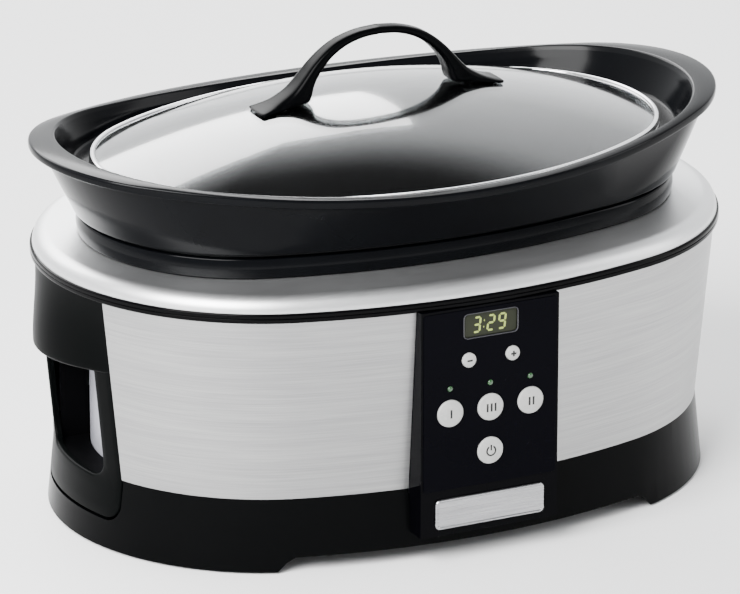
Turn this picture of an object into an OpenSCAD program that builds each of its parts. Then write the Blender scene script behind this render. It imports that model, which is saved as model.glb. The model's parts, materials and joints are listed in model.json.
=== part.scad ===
// Oval countertop slow cooker: steel-wrapped heating base, lift-out cooking pot, domed glass lid.
// X runs along the length, -Y is the front with the control panel, +Z is up.
// The origin is at the centre of the footprint, on the surface that the cooker stands on.
//
// Every outline in plan is an oval of four tangent arcs: two end arcs and two flatter side arcs.

/* [Body] */
// Length of the steel wrap at its top edge
body_len = 412; // [392:4:496]
// Depth of the steel wrap at its top edge, front to back
body_wid = 288; // [284:2:346]
// How much smaller the end radius is than half the depth
body_end_ease = 10; // [8:1:16]
// Inset of the wrap's lower edge from its top edge
wrap_taper = 9.5; // [6:0.5:11]
// Thickness of the wrap sheet
wrap_t = 1; // [0.8:0.1:1.4]
// Height of the wrap's lower edge, on top of the base band
base_h = 44; // [42:1:48]
// Height of the wrap's top edge
wrap_top = 153.5; // [150:0.5:184]

/* [Trim and deck] */
// Height of the black trim band
trim_h = 5.5; // [4:0.5:8]
// Overhang of the trim band beyond the wrap
trim_over = 2.5; // [1.5:0.5:4]
// Overhang of the deck's edge beyond the wrap
deck_over = 1.2; // [0.5:0.1:1.4]
// Radius of the deck's rolled edge
deck_roll = 9; // [6:1:11]
// Thickness of the deck sheet
deck_t = 1; // [0.8:0.1:1.2]
// Width of the deck from the wrap to the pot at each end
deck_end_w = 24; // [22:1:30]
// Width of the deck from the wrap to the pot at the front and the back
deck_side_w = 34; // [32:1:40]

/* [Base] */
// Outward splay of the base skirt from its top to its foot
skirt_splay = 4.5; // [2:0.5:6]
// Wall thickness of the base skirt
skirt_t = 3; // [2.5:0.5:3.5]
// Gap between the skirt's lower edge and the surface
skirt_gap = 1.2; // [0.8:0.1:2]
// Height of the tray floor's underside
floor_z = 12; // [11:0.5:13]
// Thickness of the tray floor
floor_t = 2.5; // [2:0.5:3]
// Half length of the toe cut-out between the feet, at the surface
toe_half = 122; // [100:1:126]
// Height of the toe cut-out
toe_h = 9.5; // [7:0.5:10]
// Radius of a rubber foot
foot_r = 9; // [7:0.5:11]

/* [Pot] */
// Wall thickness of the pot below the deck
pot_wall = 3; // [2.5:0.5:4]
// Step from the foot band in to the pot's lower wall
pot_step = 19; // [18:0.5:22]
// Height of the foot band above the deck
band_h = 12; // [9:0.5:15]
// Height of the rim's top at the middle of each side, above the deck
rim_rise = 47; // [44:1:56]
// Extra rise of the rim at each end
rim_saddle = 13.5; // [8:0.5:18]
// Thickness of the rim at its edge
rim_t = 5; // [4:0.5:6]
// Reach of the rim beyond the foot band at each end
rim_end_reach = 30; // [28:1:36]
// Reach of the rim beyond the foot band at the front and the back
rim_side_reach = 18.5; // [17:0.5:24]
// Gap under the pot's foot band and around its lower wall
pot_gap = 0.4; // [0.4:0.1:0.6]

/* [Lid] */
// Height of the ledge that the lid sits on, above the deck
ledge_rise = 38; // [36:1:40]
// Overlap of the lid's ring on the ledge at each end
lid_end_lap = 4; // [3:0.5:6]
// Overlap of the lid's ring on the ledge at the front and the back
lid_side_lap = 12; // [10:0.5:12.5]
// Height of the steel ring round the glass
ring_h = 6; // [5:0.5:7]
// Rise of the glass dome above its edge
dome_h = 27; // [20:1:32]
// Thickness of the glass
glass_t = 4; // [3.5:0.5:5]
// Height of the handle arch above the top of the dome
arch_h = 37.6; // [36:0.2:44]
// Outer radius of the handle arch
arch_r = 62; // [60:1:66]
// Inner radius of the handle arch
arch_in_r = 50.6; // [48:0.2:52]
// Thickness of the arch at its top
arch_t = 3.8; // [3.4:0.2:5]
// Half length of the handle over its two feet
grip_half = 79; // [76:1:84]
// Width of the handle at its middle
grip_mid_w = 8.5; // [8:0.5:14]
// Width of the handle across a foot
grip_foot_w = 21; // [18:1:26]

/* [End handles] */
// Width of the end handle moulding
end_w = 100; // [90:2:110]
// Width of the opening in it
end_open_w = 73; // [66:1:76]
// Height of the opening's lower edge
end_open_z = 41; // [40:1:46]
// Height of the apron's lower edge
apron_z = 109; // [100:1:113]
// Reach of the apron beyond the wrap's top edge
apron_out = 8; // [7:0.5:12]
// Height of the moulding's lower edge, let into the base skirt
end_low_z = 19; // [18:1:24]
// Thickness of the moulding
end_t = 3; // [2.5:0.5:3.5]
// Gap round the moulding where it is let into the skirt
end_gap = 1.5; // [1:0.1:2]

/* [Control panel] */
// Width of the panel
panel_w = 87; // [84:1:92]
// Height of the panel's lower edge
panel_low_z = 18; // [16:1:20]
// How far the panel's face stands in front of the wrap's top edge
panel_out = 3; // [2.5:0.5:4]
// Depth of the panel housing behind its face
panel_depth = 15; // [13:0.5:15]
// Wall thickness of the panel housing
panel_t = 3; // [2.5:0.5:3]
// Thickness of the glossy overlay
overlay_t = 0.5; // [0.3:0.1:0.8]
// Height of the line between the overlay and the badge zone
overlay_low_z = 45.5; // [45:0.5:48]
// Width of the display window
window_w = 34; // [30:1:38]
// Height of the display window
window_h = 14.5; // [12:0.5:15]
// Height of the display window's middle
window_z = 142; // [140:0.5:143]
// Length of the blank badge plate
badge_len = 69; // [60:1:74]
// Height of the badge plate
badge_h = 18; // [15:0.5:19]
// Height of the badge plate's middle
badge_z = 31.2; // [31:0.2:33]

/* [Buttons] */
// Radius of a large button
big_r = 8; // [7:0.1:8.6]
// Radius of a timer button
small_r = 4.3; // [3.8:0.1:5]
// Spacing of the large buttons in their row
big_pitch = 25.4; // [24:0.2:26]
// Spacing of the two timer buttons
small_pitch = 27.6; // [24:0.2:32]
// Height of the row of large buttons
big_z = 91.7; // [90:0.1:94]
// Height of the power button
power_z = 65.4; // [62:0.2:68]
// Height of the timer buttons
small_z = 122; // [118:0.5:124]
// Height of the row of indicator lights
light_z = 106.3; // [104.5:0.1:108]
// How far a button can be pressed
button_travel = 0.8; // [0.5:0.1:0.8]
// How far a button's dome stands in front of the panel
button_out = 1.8; // [1.2:0.1:2.4]
// Clearance round a button
button_gap = 0.25; // [0.2:0.05:0.4]

/* [Hidden] */

$fn = 120;
eps = 0.01;         // overlap that keeps a cut from ending flush with a face
far = 600;          // longer than anything in the model
around = 96;        // points round a lofted ring

// An outline is [half length, half depth, end radius].
body = [body_len / 2, body_wid / 2, body_wid / 2 - body_end_ease];
foot_end_ease = 12;
pot_half_wid = body[1] - deck_side_w;
foot = [body[0] - deck_end_w, pot_half_wid, pot_half_wid - foot_end_ease];

trim_top = wrap_top + trim_h;
deck_z = trim_top + deck_roll;
floor_top = floor_z + floor_t;

// The pot and what it sits in, as insets from the foot band's outline
mouth_end_inset = 12;                       // the mouth of the cavity at the ledge, at each end
mouth_inset = 6;                            // and at the sides
cavity_inset = pot_step + pot_wall;
well_inset = pot_step - 3;                  // inner face of the heating well
well_t = 1;
deck_hole_inset = well_inset - 0.5;
element_t = 1.5;
shield_inset = 5.7;                         // outer face of the heat shield
shield_t = 0.8;
shield_floor_z = 29;
well_floor_z = 33;
well_flange_inset = 4;
pot_floor_z = well_floor_z + well_t + 2;
element_low_z = 50;
element_high_z = 100;

// The lid
ledge_z = deck_z + ledge_rise;
mouth = [foot[0] - mouth_end_inset, foot[1] - mouth_inset, foot[2] - mouth_inset];
lid_end_ease = 25;
lid_half_wid = mouth[1] + lid_side_lap;
lid = [mouth[0] + lid_end_lap, lid_half_wid, lid_half_wid - lid_end_ease];
lid_z = ledge_z + pot_gap;
ring_t = 3;
ring_lip = 8;
ring_floor_t = 2;
glass_gap = 0.2;
glass_edge = inset(lid, ring_t + glass_gap);
glass_low_z = lid_z + ring_floor_t + glass_gap;
glass_z = glass_low_z + glass_t;
dome_top = glass_z + dome_h;
arch_top = dome_top + arch_h;
lid_screw_x = 60;
lid_screw_r = 2;
lid_screw_gap = 0.15;

// The panel
face_y = -(body[1] + panel_out);
rear_y = body[1] + panel_out + overlay_t + button_out;  // as far back as the buttons stand forward
bezel_back_y = face_y + panel_t;
overlay_y = face_y - overlay_t;
board_t = 1.6;
board_y = face_y + 14;                      // front face of the control board
switch_h = 3.5;
plunger_h = 0.7;
stem_end_y = board_y - switch_h - plunger_h - button_travel - 0.1;
button_flange = 1.2;
button_flange_t = 1;
board_post_x = 34;
board_low_z = 50;
board_margin_z = 4;

// The power board stands inside the back of the wrap
power_y = body[1] - 17;
power_half_w = 40;
power_low_z = 40;
power_h = 70;
cord_z = 27;
cord_bore_r = 3.6;
gland_r = 7;

BIG = [[-big_pitch, big_z], [0, big_z], [big_pitch, big_z], [0, power_z]];
SMALL = [[-small_pitch / 2, small_z], [small_pitch / 2, small_z]];
LIGHTS = [[-big_pitch, light_z], [0, light_z], [big_pitch, light_z]];

// Tie rods and feet stand round the corners, midway between the shield and the skirt
rod_angle = 67;
rod_r = 2;
rod = [foot[0] - foot[2] + (foot[2] + 5) * cos(rod_angle), (foot[2] + 5) * sin(rod_angle)];
foot_angle = 42;
pad = [body[0] - body[2] + (body[2] - 33) * cos(foot_angle), (body[2] - 33) * sin(foot_angle)];

function inset(o, d) = [o[0] - d, o[1] - d, o[2] - d];

// Radius of the side arcs that run tangent to the end arcs and pass through the half depth
function side_r(o) = (pow(o[0] - o[2], 2) + pow(o[1], 2) - pow(o[2], 2)) / (2 * (o[1] - o[2]));
function end_c(o) = o[0] - o[2];
function side_c(o) = side_r(o) - o[1];
function join_angle(o) = atan2(side_c(o), end_c(o));

// Point of an outline where its outward normal points at angle t
function oval_point(o, t) =
    abs(cos(t)) > cos(join_angle(o))
        ? [sign(cos(t)) * end_c(o) + o[2] * cos(t), o[2] * sin(t)]
        : [side_r(o) * cos(t), side_r(o) * sin(t) - sign(sin(t)) * side_c(o)];

// Ring of points on an outline at height z, raised by rise * (x / half length)^2
function ring(o, z, rise = 0) =
    [for (i = [0:around - 1])
        let (p = oval_point(o, i * 360 / around))
        [p[0], p[1], z + rise * pow(p[0] / o[0], 2)]];

function blend(a, b, f) = a + (b - a) * f;

// Solid whose skin runs through a list of rings. It is closed flat across the first and the last,
// or, as a tube, it runs on from the last to the first.
module loft(rings, tube = false) {
    n = around;
    count = len(rings);
    sides = [for (k = [0:count - (tube ? 1 : 2)], i = [0:n - 1])
        let (j = (i + 1) % n, a = k * n, b = ((k + 1) % count) * n)
        each [[a + i, b + i, a + j], [a + j, b + i, b + j]]];
    ends = tube ? [] : [[for (i = [0:n - 1]) i], [for (i = [n - 1:-1:0]) (count - 1) * n + i]];
    polyhedron(points = [for (r = rings) each r], faces = concat(sides, ends), convexity = 10);
}

module oval(o) {
    tangent_x = end_c(o) + o[2] * cos(join_angle(o));
    for (s = [-1, 1]) translate([s * end_c(o), 0]) circle(r = o[2]);
    intersection() {
        translate([0, -side_c(o)]) circle(r = side_r(o), $fn = 360);
        translate([0, side_c(o)]) circle(r = side_r(o), $fn = 360);
        square([2 * tangent_x, 2 * o[1] + 1], center = true);
    }
}

module oval_plate(o, z, h) {
    translate([0, 0, z]) linear_extrude(h) oval(o);
}

module oval_tube(outer, inner, z, h) {
    translate([0, 0, z]) linear_extrude(h) difference() {
        oval(outer);
        oval(inner);
    }
}

// The child profile swept round an outline: its x is the distance outside the outline, its y the height.
// Each arc is a full turn cut by the two lines that run from the side arc's centre through the ends' centres.
module sweep(o) {
    reach = [end_c(o), side_c(o)];
    for (m = [0, 1]) mirror([m, 0, 0]) intersection() {
        translate([end_c(o), 0]) rotate_extrude() translate([o[2], 0]) children();
        translate([end_c(o), 0, 0]) linear_extrude(far / 2)
            polygon([[0, 0], [reach[0], -reach[1]] * 2, [far, -far], [far, far], reach * 2]);
    }
    for (m = [0, 1]) mirror([0, m, 0]) intersection() {
        translate([0, -side_c(o)]) rotate_extrude($fn = 360) translate([side_r(o), 0]) children();
        translate([0, -side_c(o), 0]) linear_extrude(far / 2)
            polygon([[0, 0], reach * 3, [-reach[0], reach[1]] * 3]);
    }
}

// The same profile swept round the left end only
module end_sweep(o, half_angle) {
    translate([-end_c(o), 0]) rotate(180 - half_angle)
        rotate_extrude(angle = 2 * half_angle) translate([o[2], 0]) children();
}

module rounded_rect(w, h, r) {
    square([w - 2 * r, h], center = true);
    square([w, h - 2 * r], center = true);
    for (x = [-1, 1], y = [-1, 1])
        translate([x * (w / 2 - r), y * (h / 2 - r)]) circle(r = r, $fn = 48);
}

// Extrudes a plan drawn in X and Z along Y, from y0 to y1
module along_y(y0, y1) {
    translate([0, y1, 0]) rotate([90, 0, 0]) linear_extrude(y1 - y0) children();
}

// Extrudes a plan drawn in Y and Z along X, out past the left end
module along_left(x1) {
    translate([-far / 2, 0, 0]) rotate([90, 0, 90]) linear_extrude(far / 2 + x1) children();
}

module box(lo, hi) {
    translate(lo) cube(hi - lo);
}

module rod_y(r, y0, y1) {
    translate([0, y0, 0]) rotate([-90, 0, 0]) cylinder(r = r, h = y1 - y0, $fn = 48);
}

module four(p) {
    for (x = [-1, 1], y = [-1, 1]) translate([x * p[0], y * p[1], 0]) children();
}

module to_right() {
    mirror([1, 0, 0]) children();
}

// ---------------------------------------------------------------- pot

// The rim's outlines: outer edge and inner edge
rim_end_ease = 39.5;
rim_half_wid = foot[1] + rim_side_reach;
rim = [foot[0] + rim_end_reach, rim_half_wid, rim_half_wid - rim_end_ease];
rim_lip_end = 17;                           // width of the rim's flat lip at each end
rim_lip_side = 8.2;                         // and at the sides
rim_in = [rim[0] - rim_lip_end, rim[1] - rim_lip_side, foot[2] - 1];
rim_z = deck_z + rim_rise;
flare = [rim[0] - 8, rim[1] - 3, foot[2] - 3];
flare_z = deck_z + band_h + 3;
ledge_out = [lid[0] + 11, lid[1] + 2, lid[2] + 4];
mouth_low_z = deck_z + band_h + 12;

function flare_ring(f) =
    ring([for (i = [0:2]) blend(foot[i] + 3.2, flare[i], pow(f, 1.15))],
         blend(flare_z + 1.5, rim_z - rim_t - 0.6, f), rim_saddle * pow(f, 1.6));

module pot() {
    seat = deck_z + pot_gap;
    band = deck_z + band_h;
    color([0.05, 0.05, 0.06]) loft(concat(
        [ring(inset(foot, pot_step + 6), pot_floor_z),
         ring(inset(foot, pot_step + 2), pot_floor_z + 1),
         ring(inset(foot, pot_step), pot_floor_z + 5),
         ring(inset(foot, pot_step), seat),
         ring(inset(foot, 1), seat),
         ring(foot, seat + 1),
         ring(inset(foot, -0.6), band - 3),
         ring(inset(foot, 0.4), band),
         ring(inset(foot, 2.5), band + 0.6),
         ring(inset(foot, 2.5), flare_z - 0.8),
         ring(inset(foot, -1.5), flare_z - 0.4)],
        [for (f = [0:0.2:1]) flare_ring(f)],
        [ring(inset(rim, 1.2), rim_z - rim_t, rim_saddle),
         ring(rim, rim_z - rim_t + 1.2, rim_saddle),
         ring(rim, rim_z - 1.2, rim_saddle),
         ring(inset(rim, 1.2), rim_z, rim_saddle),
         ring(rim_in, rim_z - 0.4, rim_saddle),
         ring(inset(rim_in, 1.2), rim_z - 1.6, rim_saddle),
         ring(ledge_out, ledge_z, 0),
         ring(mouth, ledge_z, 0),
         ring(inset(mouth, 2), ledge_z - 2),
         ring(inset(mouth, 2), mouth_low_z),
         ring(inset(foot, cavity_inset), deck_z + 5),
         ring(inset(foot, cavity_inset), pot_floor_z + 10),
         ring(inset(foot, cavity_inset + 2), pot_floor_z + 5),
         ring(inset(foot, cavity_inset + 6), pot_floor_z + 4)]));
}

// ---------------------------------------------------------------- lid

dome_steps = [0.12, 0.26, 0.4, 0.53, 0.65, 0.76, 0.86, 0.94, 1];

function dome_ring(s, low) =
    ring([for (v = glass_edge) v * s], low + dome_h * (1 - s * s));

module lid_screw_places() {
    for (s = [-1, 1]) translate([s * lid_screw_x, 0, 0]) children();
}

module lid_glass() {
    n = len(dome_steps);
    color([0.75, 0.82, 0.85, 0.4]) difference() {
        loft(concat([for (i = [0:n - 1]) dome_ring(dome_steps[i], glass_low_z)],
                    [for (i = [n - 1:-1:0]) dome_ring(dome_steps[i], glass_z)]));
        lid_screw_places()
            translate([0, 0, glass_low_z]) cylinder(r = lid_screw_r + lid_screw_gap, h = far, $fn = 32);
    }
}

module lid_ring() {
    color([0.8, 0.8, 0.82]) difference() {
        oval_plate(lid, lid_z, ring_h);
        oval_plate(inset(lid, ring_t), lid_z + ring_floor_t, far);
        oval_plate(inset(lid, ring_lip), 0, far);
    }
}

// Height of the glass at distance x from the middle, along the length
function glass_at(x) = glass_z + dome_h * (1 - pow(x / glass_edge[0], 2));

grip_gap = 0.5;
grip_leg_x = 45;
grip_tip_t = 2.8;
grip_blend_r = 35;

module grip_side_view() {
    arch_c = arch_top - arch_r;
    arch_in_c = arch_top - arch_t - arch_in_r;
    under_leg = glass_at(grip_leg_x) + grip_gap;
    under_tip = glass_at(grip_half) + grip_gap;
    tip_top = under_tip + grip_tip_t;
    leg_top = arch_in_c + sqrt(pow(arch_in_r, 2) - pow(grip_leg_x, 2));
    blend_x = grip_half + 1;
    shoulder = blend_x - 28;
    intersection() {
        difference() {
            translate([0, arch_c]) circle(r = arch_r);
            translate([0, arch_in_c]) circle(r = arch_in_r);
        }
        translate([-far / 2, leg_top - 2]) square([far, far]);
    }
    for (m = [0, 1]) mirror([m, 0]) difference() {
        polygon([[grip_leg_x, under_leg], [grip_half, under_tip], [grip_half, tip_top + 1],
                 [shoulder, leg_top + 4], [grip_leg_x, leg_top]]);
        translate([blend_x, tip_top + grip_blend_r]) circle(r = grip_blend_r);
    }
}

module lid_handle() {
    color([0.09, 0.09, 0.1]) difference() {
        intersection() {
            along_y(-grip_foot_w, grip_foot_w) grip_side_view();
            linear_extrude(far) polygon(
                [for (s = [-1, 1], p = [[grip_half, grip_foot_w], [26, grip_mid_w],
                                        [-26, grip_mid_w], [-grip_half, grip_foot_w]])
                    [s * p[0], s * p[1] / 2]]);
        }
        lid_screw_places()
            cylinder(r = lid_screw_r, h = glass_at(lid_screw_x) + 5, $fn = 32);
    }
}

lid_head_z = glass_at(lid_screw_x) - glass_t - 4.2;
lid_washer_t = 1.2;

module lid_handle_screws() {
    color([0.75, 0.75, 0.77]) lid_screw_places() {
        translate([0, 0, lid_head_z]) cylinder(r = 4, h = 2, $fn = 32);
        translate([0, 0, lid_head_z + 1])
            cylinder(r = lid_screw_r, h = glass_at(lid_screw_x) + 4 - lid_head_z, $fn = 32);
    }
}

module lid_handle_washers() {
    color([0.15, 0.15, 0.15]) lid_screw_places()
        translate([0, 0, lid_head_z + 2]) difference() {
            cylinder(r = 6, h = lid_washer_t, $fn = 32);
            translate([0, 0, -1]) cylinder(r = lid_screw_r + lid_screw_gap, h = 4, $fn = 32);
        }
}

// ---------------------------------------------------------------- deck, trim and wrap

// Ring at angle t of a roll of radius r, from its outer edge at 0 up to its top at 90
function roll_ring(r, t) =
    ring(inset(body, deck_roll - deck_over - r * cos(t)), trim_top + r * sin(t));

module top_deck() {
    hole = inset(foot, deck_hole_inset);
    color([0.8, 0.81, 0.82]) loft(tube = true, rings = concat(
        [for (t = [0:15:90]) roll_ring(deck_roll, t)],
        [ring(hole, deck_z), ring(hole, deck_z - deck_t)],
        [for (t = [90:-15:0]) roll_ring(deck_roll - deck_t, t)]));
}

stud_h = 16;

module deck_studs() {
    color([0.7, 0.7, 0.7]) four(rod) translate([0, 0, deck_z - deck_t - stud_h]) difference() {
        cylinder(r = 4.5, h = stud_h, $fn = 32);
        translate([0, 0, -1]) cylinder(r = rod_r + 0.1, h = stud_h - 3, $fn = 32);
    }
}

trim_in = 3;        // how far the trim band reaches in over the wrap

module trim_ring() {
    color([0.03, 0.03, 0.035]) oval_tube(inset(body, -trim_over), inset(body, trim_in), wrap_top, trim_h);
}

wrap_gap = 0.3;

module whole_wrap() {
    sweep(body) polygon([[-wrap_taper - wrap_t, base_h], [-wrap_taper, base_h],
                         [0, wrap_top], [-wrap_t, wrap_top]]);
}

// Keeps the front part of the wrap on one side, between the panel and the end handle
module front_wrap(side) {
    x0 = panel_w / 2 + wrap_gap;
    intersection() {
        whole_wrap();
        mirror([side < 0 ? 1 : 0, 0, 0]) box([x0, -far, 0], [far, -end_w / 2 - wrap_gap, far]);
    }
}

module wrap_front_left() { color([0.78, 0.78, 0.79]) front_wrap(-1); }

module wrap_front_right() { color([0.78, 0.78, 0.79]) front_wrap(1); }

module wrap_back() {
    color([0.78, 0.78, 0.79]) intersection() {
        whole_wrap();
        box([-far, end_w / 2 + wrap_gap, 0], [far, far, far]);
    }
}

// ---------------------------------------------------------------- end handles

// Distance of the skirt's outer face outside the body outline, at height z
function skirt_at(z) = -wrap_taper + skirt_splay * (base_h - z) / (base_h - skirt_gap);

end_open_top = apron_z + 12;
end_corner = 10;
open_corner = 12;

module end_outline(grow = 0) {
    h = wrap_top - end_low_z;
    translate([0, end_low_z + h / 2]) {
        rounded_rect(end_w + 2 * grow, h + 2 * grow, end_corner + grow);
        translate([-end_w / 2 - grow, 0]) square([end_w + 2 * grow, h / 2 + grow]);
    }
}

module end_opening() {
    h = end_open_top - end_open_z;
    translate([0, end_open_z + h / 2]) {
        rounded_rect(end_open_w, h, open_corner);
        translate([-end_open_w / 2, 0]) square([end_open_w, h / 2]);
    }
}

module left_handle_shape() {
    spread = asin((end_w / 2 + 4) / body[2]);
    low = skirt_at(end_low_z);
    difference() {
        intersection() {
            end_sweep(body, spread)
                polygon([[0, wrap_top], [-wrap_taper, base_h], [low, end_low_z],
                         [low - end_t, end_low_z], [-wrap_taper - end_t, base_h], [-end_t, wrap_top]]);
            along_left(0) end_outline();
        }
        along_left(0) end_opening();
    }
    intersection() {
        end_sweep(body, spread)
            polygon([[-0.5, wrap_top - 3], [apron_out * 0.2, wrap_top - 14],
                     [apron_out * 0.6, wrap_top - 28], [apron_out * 0.95, apron_z + 14],
                     [apron_out, apron_z + 8], [apron_out - 0.8, apron_z + 4],
                     [apron_out - 3.5, apron_z + 1], [apron_out - 8, apron_z],
                     [apron_out - 8, apron_z + 2.5], [apron_out - 3.6, apron_z + 9],
                     [apron_out * 0.6 - end_t, wrap_top - 30], [-end_t, wrap_top - 12],
                     [-end_t, wrap_top - 3]]);
        along_left(0) translate([-end_w / 2, apron_z - 1]) square([end_w, wrap_top]);
    }
}

module left_handle() { color([0.12, 0.12, 0.125]) left_handle_shape(); }

module right_handle() { color([0.12, 0.12, 0.125]) to_right() left_handle_shape(); }

liner_t = 2;

// Pocket behind the opening: floor, roof and two sides, from the moulding in to the shield
module left_liner_shape() {
    back = inset(foot, shield_inset - 1);
    half = end_open_w / 2 + liner_t + 1;
    reach = body[0] - wrap_taper - end_t - 1.5;
    top = end_open_top + 6;
    intersection() {
        difference() {
            box([-far, -half, end_open_z - liner_t - 1], [0, half, top]);
            box([-far - 1, -half + liner_t, end_open_z - 1], [1, half - liner_t, top - liner_t]);
        }
        difference() {
            oval_plate(inset(body, wrap_taper + end_t + 0.5), 0, far);
            oval_plate(back, -1, far + 2);
        }
        box([-reach - end_t, -far, 0], [0, far, far]);
    }
}

module left_recess_liner() { color([0.04, 0.04, 0.045]) left_liner_shape(); }

module right_recess_liner() { color([0.04, 0.04, 0.045]) to_right() left_liner_shape(); }

// ---------------------------------------------------------------- base

vent_l = 30;
vent_w = 4;
boss_x = 60;
boss_y = 48;
boss_r = 6;
foot_stem_r = 4;
post_w = 6;

module toe_cut() {
    along_y(-far / 2, far / 2) polygon([
        [-toe_half, -1], [-toe_half + 7, toe_h * 0.7], [-toe_half + 12, toe_h],
        [toe_half - 12, toe_h], [toe_half - 7, toe_h * 0.7], [toe_half, -1]]);
}

module base_tray() {
    low = skirt_at(skirt_gap);
    x = power_half_w;
    color([0.05, 0.05, 0.055]) {
        difference() {
            sweep(body) polygon([[-wrap_taper, base_h], [low, skirt_gap],
                                 [low - skirt_t, skirt_gap], [-wrap_taper - skirt_t, base_h]]);
            toe_cut();
            box([-panel_w / 2 - 0.2, -far, panel_low_z - 0.2], [panel_w / 2 + 0.2, 0, far]);
            box([-inlet_w / 2 - 0.1, 0, inlet_low_z - 0.1], [inlet_w / 2 + 0.1, far, inlet_high_z + 0.1]);
            for (m = [0, 1]) mirror([m, 0, 0]) along_left(-body[0] / 2) end_outline(end_gap);
        }
        difference() {
            oval_plate(inset(body, wrap_taper), floor_z, floor_t);
            four(rod) cylinder(r = rod_r + 0.1, h = far, $fn = 32);
            four(pad) cylinder(r = foot_stem_r + 0.1, h = far, $fn = 32);
            for (x = [-2:2], y = [-1, 1])
                translate([x * 12, y * 70, floor_z]) cube([vent_w, vent_l, 3 * floor_t], center = true);
        }
        four([boss_x, boss_y]) translate([0, 0, floor_top - 0.5])
            cylinder(r = boss_r, h = shield_floor_z - floor_top + 0.5, $fn = 48);
        for (s = [-1, 1]) difference() {
            box([s * (x + 1) - post_w / 2, power_y - 3.5, floor_top - 0.5],
                [s * (x + 1) + post_w / 2, power_y + board_t + 2, power_low_z + 20]);
            power_board_blank(0.1);
        }
    }
}

module rubber_feet() {
    color([0.1, 0.1, 0.1]) four(pad) {
        cylinder(r = foot_r, h = floor_z, $fn = 48);
        cylinder(r = foot_stem_r, h = floor_top + 2, $fn = 48);
    }
}

module tie_rods() {
    color([0.7, 0.7, 0.72]) four(rod) {
        translate([0, 0, floor_z - 2.5]) cylinder(r = 4, h = 2.5, $fn = 32);
        translate([0, 0, floor_z - 1]) cylinder(r = rod_r, h = deck_z - deck_t - 6 - floor_z, $fn = 32);
    }
}

// ---------------------------------------------------------------- heating parts

slot_half = 14;
slot_low_z = 68;
slot_high_z = 86;
lead_x = 6;
lead_z = 77;

module terminal_slot() {
    box([-slot_half, 0, slot_low_z], [slot_half, far, slot_high_z]);
}

module heating_well() {
    outer = inset(foot, well_inset - well_t);
    flange_z = deck_z - deck_t - well_t;
    color([0.75, 0.75, 0.76]) {
        oval_tube(outer, inset(foot, well_inset), well_floor_z, flange_z - well_floor_z + eps);
        oval_plate(outer, well_floor_z, well_t);
        oval_tube(inset(foot, well_flange_inset), inset(foot, well_inset), flange_z, well_t);
    }
}

module heating_band() {
    inner = inset(foot, well_inset - well_t - 0.1);
    outer = inset(foot, well_inset - well_t - 0.1 - element_t);
    color([0.6, 0.55, 0.4]) {
        oval_tube(outer, inner, element_low_z, element_high_z - element_low_z);
        for (s = [-1, 1])
            box([s * lead_x - 2, outer[1] - 1, lead_z - 3], [s * lead_x + 2, foot[1] - 1, lead_z + 3]);
    }
}

module insulation() {
    inner = well_inset - well_t - 0.2 - element_t;
    color([0.9, 0.88, 0.8]) difference() {
        oval_tube(inset(foot, shield_inset + shield_t + 0.5), inset(foot, inner), 38, 112);
        terminal_slot();
    }
}

module heat_shield() {
    outer = inset(foot, shield_inset);
    top = deck_z - deck_t - well_t;
    color([0.72, 0.73, 0.77]) {
        difference() {
            oval_tube(outer, inset(foot, shield_inset + shield_t), shield_floor_z, top - shield_floor_z);
            terminal_slot();
        }
        oval_plate(outer, shield_floor_z, shield_t);
    }
}

module thermistor() {
    z = shield_floor_z + shield_t;
    color([0.2, 0.2, 0.2]) translate([0, 0, z]) cylinder(r = 6, h = well_floor_z - z, $fn = 48);
}

module thermal_fuse() {
    r = 1.5;
    color([0.85, 0.85, 0.85]) translate([24, 0, shield_floor_z + shield_t + r + 0.05])
        rotate([0, 90, 0]) cylinder(r = r, h = 12, $fn = 32);
}

// ---------------------------------------------------------------- control panel

module panel_places(places) {
    for (p = places) translate([p[0], 0, p[1]]) children();
}

module button_holes(y0, y1) {
    panel_places(BIG) rod_y(big_r + button_gap, y0, y1);
    panel_places(SMALL) rod_y(small_r + button_gap, y0, y1);
    panel_places(LIGHTS) rod_y(light_r, y0, y1);
}

light_r = 1.6;

module window_hole(y0, y1, grow = 0) {
    along_y(y0, y1) translate([0, window_z])
        rounded_rect(window_w + 2 * grow, window_h + 2 * grow, 2.5 + grow);
}

module board_posts() {
    for (s = [-1, 1], z = [board_low_z + board_margin_z, wrap_top - 2 * board_margin_z])
        translate([s * board_post_x, 0, z]) children();
}

module panel_bezel() {
    w = panel_w / 2;
    y1 = face_y + panel_depth;
    color([0.02, 0.02, 0.025]) difference() {
        union() {
            difference() {
                box([-w, face_y, panel_low_z], [w, y1, wrap_top]);
                box([-w + panel_t, bezel_back_y, panel_low_z + panel_t], [w - panel_t, far, wrap_top - panel_t]);
            }
            board_posts() rod_y(3, bezel_back_y - 0.5, board_y);
        }
        button_holes(face_y - 1, bezel_back_y + 1);
        window_hole(face_y - 1, bezel_back_y + 1);
        board_posts() rod_y(1.2, board_y - 7, board_y + 1);
    }
}

module panel_overlay() {
    side = 1.5;
    w = panel_w - 2 * side;
    top = wrap_top - side;
    color([0.01, 0.01, 0.015]) difference() {
        along_y(overlay_y, face_y) translate([0, (overlay_low_z + top) / 2])
            rounded_rect(w, top - overlay_low_z, 1.5);
        button_holes(overlay_y - 1, face_y + 1);
        window_hole(overlay_y - 1, face_y + 1);
    }
}

module display_window() {
    color([0.3, 0.34, 0.2]) window_hole(face_y + 0.4, face_y + 1.8, -0.15);
}

module display_module() {
    color([0.12, 0.13, 0.1])
        box([-window_w / 2 - 2, bezel_back_y + 0.1, window_z - window_h / 2 - 1.5],
            [window_w / 2 + 2, board_y, window_z + window_h / 2 + 1]);
}

module badge_plate() {
    color([0.75, 0.75, 0.77]) along_y(face_y - 1.5, face_y)
        translate([0, badge_z]) rounded_rect(badge_len, badge_h, 3);
}

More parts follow.
